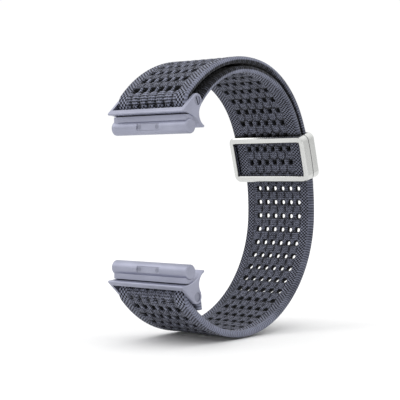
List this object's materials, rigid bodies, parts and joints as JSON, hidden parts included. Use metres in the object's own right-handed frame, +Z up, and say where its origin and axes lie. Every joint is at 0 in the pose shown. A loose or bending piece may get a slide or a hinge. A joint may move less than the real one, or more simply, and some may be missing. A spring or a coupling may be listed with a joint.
{
  "type": "braided elastic watch strap",
  "caption": "Ring-shaped elastic knitted strap with rows of holes, a metal lug adapter at each end and a slide clasp that joins its doubled layer.",
  "frame": {"origin": "middle of the upper lug adapter's rail, on the rail's axis", "axes": "+X across the band along the rail, +Y from the open front of the ring to the clasp side, +Z up from the lower adapter to the upper one"},
  "size_m": [0.0274, 0.0639, 0.0781],
  "materials": {
    "band": "matte knitted yarn",
    "thread": "matte thread",
    "lug_metal": "fine matte, bluish grey",
    "clasp_metal": "satin",
    "crimp_strip": "bright",
    "pin_steel": "plain"
  },
  "bodies": {
    "upper_adapter": {"upper_lug_body": "lug_metal", "upper_screw_bar": "pin_steel", "upper_detent_spring": "pin_steel", "upper_retaining_plate": "lug_metal", "upper_plate_screws": "pin_steel"},
    "upper_button": {"upper_detent_button": "pin_steel"},
    "band": {"band_running_layer": "band", "lower_fold_stitching": "thread"},
    "lower_adapter": {"lower_lug_body": "lug_metal", "lower_screw_bar": "pin_steel", "lower_detent_spring": "pin_steel", "lower_retaining_plate": "lug_metal", "lower_plate_screws": "pin_steel"},
    "lower_button": {"lower_detent_button": "pin_steel"},
    "clasp": {"clasp_inner_frame": "clasp_metal", "clasp_outer_cover": "clasp_metal", "clasp_divider_plate": "clasp_metal", "clasp_dowel_pins": "pin_steel", "band_end_crimp": "crimp_strip", "band_return_layer": "band"}
  },
  "joints": [
    {"name": "upper_bar_swivel", "type": "hinge", "parent": "upper_adapter", "child": "band", "pos_m": [0, 0.0026, 0.0067], "axis": [1, 0, 0], "range_deg": [-30, 30]},
    {"name": "lower_bar_swivel", "type": "hinge", "parent": "band", "child": "lower_adapter", "pos_m": [0, 0.0026, -0.0447], "axis": [1, 0, 0], "range_deg": [-30, 30]},
    {"name": "clasp_slide", "type": "hinge", "parent": "band", "child": "clasp", "pos_m": [0, -0.0027, -0.02345], "axis": [1, 0, 0], "range_deg": [-10, 3.5], "deforming": ["band_return_layer"]},
    {"name": "upper_detent_press", "type": "slide", "parent": "upper_adapter", "child": "upper_button", "axis": [0, -1, 0], "range_m": [0, 0.0007], "stiffness_N_per_m": 300, "springref_m": -0.0006, "deforming": ["upper_detent_spring"]},
    {"name": "lower_detent_press", "type": "slide", "parent": "lower_adapter", "child": "lower_button", "axis": [0, -1, 0], "range_m": [0, 0.0007], "stiffness_N_per_m": 300, "springref_m": -0.0006, "deforming": ["lower_detent_spring"]}
  ]
}
